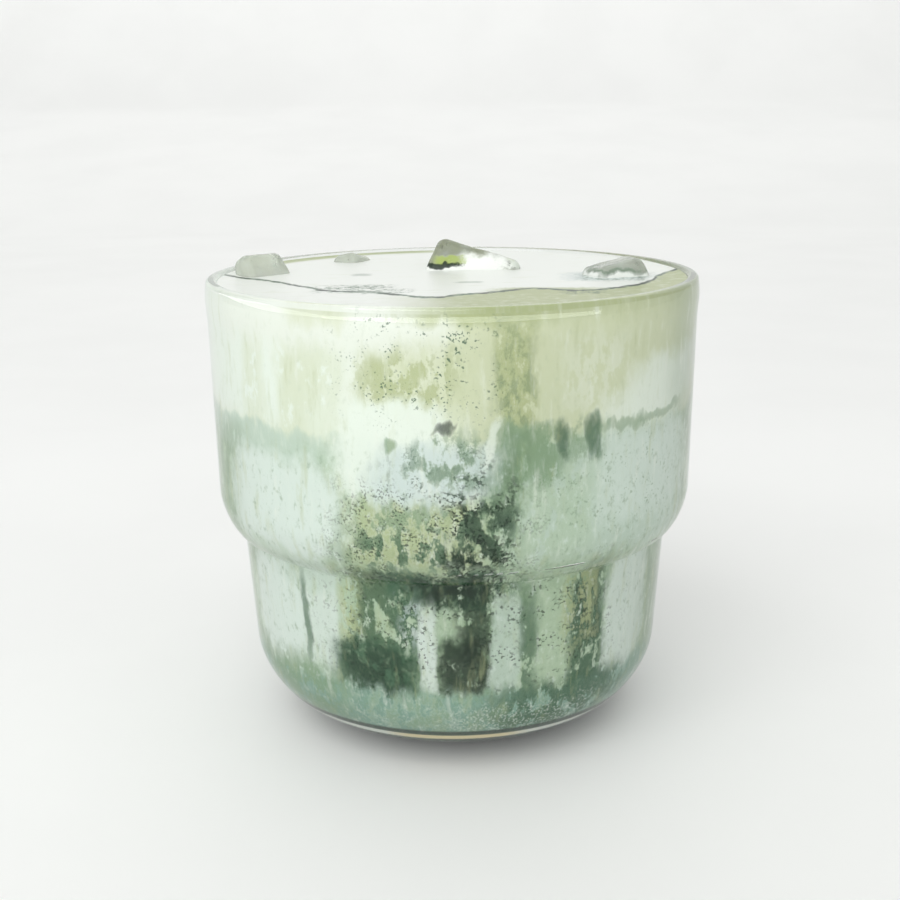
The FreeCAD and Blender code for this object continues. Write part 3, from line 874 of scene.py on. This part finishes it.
def ice_material(name, colours):
    """Wet melting ice, cloudy inside, with milk on its foot, bright green under it and painted shade
    along its foot.
    """
    material, web, shader = new_material(name)
    solid = web.scale(web.object_place(), (1 / MM, 1 / MM, 1 / MM))
    across, _, level = web.split(solid)
    cloud = web.noise(solid, 0.26, 4.0)
    grit = web.noise(solid, 0.9, 5.0, 0.65)
    tint = colours.tint
    middle = web.ramp(web.math("ABSOLUTE", across), *GREY_ICE_REACH)
    tone = web.mix(middle, tint("ice"), tint("ice_grey"))
    tone = web.mix(web.ramp(cloud, 0.42, 0.7, 0.0, 0.7), tone, tint("ice_bright"))
    milky = web.ramp(level, *(CREAM_HIGH.z / MM + rise for rise in MILKY_FOOT), 0.0, 0.5)
    tone = web.mix(milky, tone, tint("cream_pale"))
    stirs = (grit, web.noise(solid, 0.5, 2.0))
    front = web.join(*(
        web.math("MULTIPLY_ADD", stir, wander, web.math("SUBTRACT", spot, wander / 2))
        for stir, wander, spot in zip(stirs, MARKS_WANDER, (across, level))
    ))
    cover = 0.0
    for label, spot, half, ragged, strength in ICE_MARKS:
        share = patch_share(web, grit, front, spot, half, 0.4, ragged, strength)
        tone = web.mix(share, tone, tint(label))
        cover = web.math("MAXIMUM", share, cover)
    web.fill(shader, {
        "Base Color": tone,
        "Roughness": web.ramp(cloud, 0.3, 0.7, 0.06, 0.28),
        "Transmission Weight": web.math("MULTIPLY_ADD", cover, -0.6, 0.6),
        "Normal": web.bump(grit, 0.25, 0.3 * MM),
        "IOR": ICE_INDEX,
    })
    return material


# ---- shapes of the drink

LAYER_RINGS = 10
WALL_ROWS = 36
CREAM_LEVEL = 61.0 * MM
CREAM_WAVE = 2.2 * MM
CREAM_PHASE = math.radians(40.0)
DIP_DEPTH = 9.0 * MM
DIP_SPREAD = 13.0 * MM
DIP_AZIMUTH = math.radians(-8.0)
PASTE_LEVEL = 19.5 * MM
PASTE_WAVE = 1.6 * MM
PASTE_PHASE = math.radians(-60.0)
CLIMB_REACH = 1.1 * MM
SWELL_HEIGHT = 0.12 * MM
SWELL_FADE = 4.0 * MM
SWELLS_PER_METRE = 90.0


class Hollow:
    """The tumbler's inner wall as a path, to which the drink's layers are fitted."""

    def __init__(self, sizes):
        bm = bmesh.new()
        corners = inner_corners(sizes)
        brim = corners.pop()
        wire = rounded_wire(bm, corners, (0.0, sizes.floor), brim[:2])
        self.points = [Vector((vert.co.x, vert.co.z)) for vert in wire]
        bm.free()
        self.runs = [0.0]
        for first, second in zip(self.points, self.points[1:]):
            self.runs.append(self.runs[-1] + (second - first).length)
        self.reach = sizes.wet_reach

    def at(self, run):
        """The place at a distance along the wall, just inside the glass."""
        index = max(1, next((i for i, r in enumerate(self.runs) if r >= run), len(self.runs) - 1))
        first, second = self.points[index - 1], self.points[index]
        along = (second - first).normalized()
        place = first + along * (run - self.runs[index - 1])
        return place + Vector((along.y, -along.x)) * self.reach

    def run_at(self, level):
        """Distance along the wall to a level above the sole."""
        for index in range(1, len(self.points)):
            low, high = self.points[index - 1], self.points[index]
            if high.y > low.y and high.y >= level:
                return self.runs[index - 1] + (high - low).length * (level - low.y) / (high.y - low.y)
        return self.runs[-1]


def cream_floor(across, along, reach):
    """Level of the surface between cream and latte."""
    turn = math.atan2(across, -along)
    fade = min(1.0, math.hypot(across, along) / (0.25 * reach))
    dip_x, dip_y = reach * math.sin(DIP_AZIMUTH), -reach * math.cos(DIP_AZIMUTH)
    away = math.hypot(across - dip_x, along - dip_y) / DIP_SPREAD
    wave = CREAM_WAVE * math.sin(2 * turn + CREAM_PHASE)
    return CREAM_LEVEL + fade * wave - DIP_DEPTH * math.exp(-away ** 4)


def paste_top(across, along, reach):
    """Level of the settled paste's top."""
    turn = math.atan2(across, -along)
    fade = min(1.0, math.hypot(across, along) / reach)
    return PASTE_LEVEL + fade * PASTE_WAVE * math.sin(3 * turn + PASTE_PHASE)


def spun_can(turns):
    """A can of unit radius and height, to be fitted between two surfaces."""
    bm = bmesh.new()
    steps = [(ring / LAYER_RINGS, 0.0) for ring in range(LAYER_RINGS)]
    steps += [(1.0, row / WALL_ROWS) for row in range(WALL_ROWS + 1)]
    steps += [(ring / LAYER_RINGS, 1.0) for ring in reversed(range(LAYER_RINGS))]
    wire_through(bm, [(across, 0.0, up) for across, up in steps])
    spin_solid(bm, turns)
    return bm


def fit_layer(bm, hollow, reach, low, high):
    """Fit a unit can between two surfaces and out to the wall.

    low is None for the glass's floor, which meets the wall where that starts to curve up.
    """
    for vert in bm.verts:
        across, up = math.hypot(vert.co.x, vert.co.y), vert.co.z
        turn = math.atan2(vert.co.y, vert.co.x)
        way = Vector((math.cos(turn), math.sin(turn)))
        edge = way * reach
        start = hollow.run_at(low(edge.x, edge.y, reach)) if low else hollow.runs[1]
        end = hollow.run_at(high(edge.x, edge.y, reach))
        if across > 0.999:
            spot = hollow.at(start + (end - start) * up)
            vert.co = (way.x * spot.x, way.y * spot.x, spot.y)
            continue
        spot = hollow.at(start if up < 0.5 else end)
        place = way * spot.x * across
        surface = low if up < 0.5 else high
        level = surface(place.x, place.y, reach) if surface else spot.y
        vert.co = (place.x, place.y, level)


def milk_face(level, meniscus):
    """The upper face: level, with a low swell and a climb at the wall."""
    def face(across, along, reach):
        out = math.hypot(across, along)
        climb = meniscus * math.exp(-(reach - out) / CLIMB_REACH)
        swell = noise.noise(Vector((across, along, 0.0)) * SWELLS_PER_METRE) * SWELL_HEIGHT
        return level + climb + swell * min(1.0, (reach - out) / SWELL_FADE)
    return face


# ---- operators


class LATTE_OT_tumbler(bpy.types.Operator):
    """Turn the stepped tumbler with its rounded lip"""

    bl_idname = "latte.tumbler"
    bl_label = "Tumbler"

    def execute(self, context):
        sizes = context.scene.latte_sizes
        bm = bmesh.new()
        corners = list(section_corners(sizes)) + inner_corners(sizes)[::-1]
        rounded_wire(bm, corners, (0.0, 0.0), (0.0, sizes.floor))
        spin_solid(bm, sizes.turns)
        glass = glass_material(context.scene.latte_colours)
        make_piece(bm, "tumbler", glass, "glass")
        return {"FINISHED"}


class LATTE_OT_drink(bpy.types.Operator):
    """Pour the paste, the latte and the cream"""

    bl_idname = "latte.drink"
    bl_label = "Drink"

    def execute(self, context):
        sizes = context.scene.latte_sizes
        hollow = Hollow(sizes)
        reach = sizes.rim_radius - sizes.wall
        marbling = Marbling(sizes, context.scene.latte_colours).build()
        face = milk_face(CREAM_HIGH.z, sizes.meniscus)
        layers = (
            ("settled_paste", "mugwort_paste", "settled_paste", None, paste_top, 0.45, 1.1),
            ("green_latte", "latte", "green_latte", paste_top, cream_floor, 0.4, 1.1),
            ("milk_cream", "cream", "milk_cream", cream_floor, face, 0.3, 1.3),
        )
        for name, node, slot_name, low, high, roughness, index in layers:
            bm = spun_can(sizes.turns)
            fit_layer(bm, hollow, reach, low, high)
            bmesh.ops.recalc_face_normals(bm, faces=bm.faces[:])
            material = drink_material(f"{name}_look", marbling, roughness, index)
            make_piece(bm, name, material, node)
        return {"FINISHED"}


MELT_STEP = 0.7 * MM
MELT_DEPTH = 0.4 * MM
# Dents for each metre and each one's share of the depth.
DENTS = ((330.0, 0.75), (950.0, 0.25))


def cut_fine(bm, step):
    """Cut a mesh by evenly spaced planes along each axis, so that it can be dented."""
    for axis in (Vector((1, 0, 0)), Vector((0, 1, 0)), Vector((0, 0, 1))):
        ends = [vert.co.dot(axis) for vert in bm.verts]
        spot = min(ends) + step
        while spot < max(ends):
            bmesh.ops.bisect_plane(
                bm, geom=bm.verts[:] + bm.edges[:] + bm.faces[:], dist=1e-7,
                plane_co=axis * spot, plane_no=axis,
            )
            spot += step


def melt(bm, depth):
    """Dent a mesh inwards, never outwards, as ice melts."""
    bm.normal_update()
    moves = []
    for vert in bm.verts:
        dent = sum(share * (noise.noise(vert.co * often) * 0.5 + 0.5) for often, share in DENTS)
        moves.append(vert.normal * (-depth * dent))
    for vert, move in zip(bm.verts, moves):
        vert.co += move


class LATTE_OT_ice(bpy.types.Operator):
    """Melt the pieces of ice that stand out of the drink"""

    bl_idname = "latte.ice"
    bl_label = "Ice"

    def execute(self, context):
        material = ice_material("wet_ice", context.scene.latte_colours)
        for node in ("ice_centre", "ice_right", "ice_left", "ice_back"):
            bm = bmesh.new()
            bm.from_mesh(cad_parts[node].data)
            bmesh.ops.remove_doubles(bm, verts=bm.verts[:], dist=WELD)
            cut_fine(bm, MELT_STEP)
            melt(bm, MELT_DEPTH)
            make_piece(bm, f"melted_{node}", material, node)
        return {"FINISHED"}


# The table's profile along and up, and half its width, in metres; how dark its grain is.
TABLE_PATH = ((-2.0, 0.0), (1.0, 0.0), (1.6, 0.12), (1.9, 0.5), (2.0, 2.4))
TABLE_HALF = 1.5
TABLE_GRAIN = 0.97

# Light of the room, and the lamps: name, place, the place each faces, its width and height
# in metres and its power in watts.
ROOM_COLOUR = (0.985, 1.0, 0.985, 1.0)
ROOM_STRENGTH = 0.62
LAMPS = (
    ("front_window", (-0.4, -0.8, 1.15), (0.0, 0.0, 0.04), (1.2, 1.0), 8.0),
    ("front_strip", (0.1, -1.15, 0.13), (0.0, 0.0, 0.04), (4.5, 0.15), 7.0),
    ("left_strip", (-1.75, 0.1, 0.15), (0.0, 0.0, 0.04), (2.6, 0.12), 2.2),
    ("back_panel", (0.0, 1.2, 1.3), (0.0, 1.4, 0.0), (2.4, 1.0), 5.0),
)

# The camera's lens in millimetres, its place in metres, and its pitch down, roll and pan.
CAMERA_LENS = 50.92
CAMERA_PLACE = (0.0, -0.22955, 0.110)
CAMERA_ANGLES = (14.93, 0.63, -0.17)


class LATTE_OT_stage(bpy.types.Operator):
    """Set the pale table, the soft light and the camera"""

    bl_idname = "latte.stage"
    bl_label = "Stage"

    def execute(self, context):
        scene = context.scene
        scene.view_settings.view_transform = "Standard"
        self.table(scene)
        self.light(scene)
        self.camera(scene)
        return {"FINISHED"}

    def table(self, scene):
        """A wide pale floor that sweeps up behind the glass."""
        bm = bmesh.new()
        _, edges = wire_through(bm, [(-TABLE_HALF, along, up) for along, up in TABLE_PATH])
        swept = bmesh.ops.extrude_edge_only(bm, edges=edges)
        moved = [item for item in swept["geom"] if isinstance(item, bmesh.types.BMVert)]
        bmesh.ops.translate(bm, verts=moved, vec=(2 * TABLE_HALF, 0.0, 0.0))
        bmesh.ops.recalc_face_normals(bm, faces=bm.faces[:])
        for face in bm.faces:
            face.smooth = True
            if face.normal.z < 0 or face.normal.y > 0.5:
                face.normal_flip()
        material, web, shader = new_material("pale_table")
        grain = web.ramp(web.noise(web.object_place(), 9.0, 4.0), 0.3, 0.7)
        pale = scene.latte_colours.tint("floor")
        dim = (*(TABLE_GRAIN * channel for channel in pale[:3]), 1.0)
        web.fill(shader, {"Base Color": web.mix(grain, pale, dim), "Roughness": 0.6})
        link_mesh(bm, "table", material)

    def light(self, scene):
        """A bright even room with a window high in front and low strips for the lip."""
        world = bpy.data.worlds.new("room")
        world.use_nodes = True
        background = world.node_tree.nodes["Background"]
        background.inputs["Color"].default_value = ROOM_COLOUR
        background.inputs["Strength"].default_value = ROOM_STRENGTH
        scene.world = world
        for name, place, target, (wide, tall), power in LAMPS:
            lamp = bpy.data.lights.new(name, "AREA")
            lamp.shape = "RECTANGLE"
            lamp.size, lamp.size_y = wide, tall
            lamp.energy = power
            window = bpy.data.objects.new(name, lamp)
            window.location = place
            aim = Vector(target) - window.location
            window.rotation_euler = aim.to_track_quat("-Z", "Y").to_euler()
            scene.collection.objects.link(window)

    def camera(self, scene):
        """A close camera a little above the brim, looking down at the middle."""
        data = bpy.data.cameras.new("camera")
        data.lens = CAMERA_LENS
        data.sensor_width = 36.0
        data.clip_start = 0.01
        camera = bpy.data.objects.new("camera", data)
        pitch, roll, pan = (math.radians(angle) for angle in CAMERA_ANGLES)
        turn = Matrix.Rotation(-pan, 4, "Z") @ Matrix.Rotation(math.pi / 2 - pitch, 4, "X")
        place = Matrix.Translation(CAMERA_PLACE)
        camera.matrix_world = place @ turn @ Matrix.Rotation(-roll, 4, "Z")
        scene.collection.objects.link(camera)
        scene.camera = camera


class LATTE_PT_panel(bpy.types.Panel):
    """Lists the steps of the dressing."""

    bl_idname = "LATTE_PT_panel"
    bl_label = "Mugwort Latte"
    bl_space_type = "VIEW_3D"
    bl_region_type = "UI"
    bl_category = "Latte"

    def draw(self, context):
        for step in STEPS:
            self.layout.operator(step.bl_idname)


STEPS = (LATTE_OT_tumbler, LATTE_OT_drink, LATTE_OT_ice, LATTE_OT_stage)
CLASSES = (LatteSizes, LatteColours, *STEPS, LATTE_PT_panel)


def register():
    """Register the classes and hang the settings on the scene."""
    for item in CLASSES:
        bpy.utils.register_class(item)
    bpy.types.Scene.latte_sizes = PointerProperty(type=LatteSizes)
    bpy.types.Scene.latte_colours = PointerProperty(type=LatteColours)


def unregister():
    """Take the settings and the classes away again."""
    del bpy.types.Scene.latte_colours
    del bpy.types.Scene.latte_sizes
    for item in reversed(CLASSES):
        bpy.utils.unregister_class(item)


def main():
    """Run every step in order."""
    register()
    bpy.ops.latte.tumbler()
    bpy.ops.latte.drink()
    bpy.ops.latte.ice()
    bpy.ops.latte.stage()


if __name__ == "__main__":
    main()
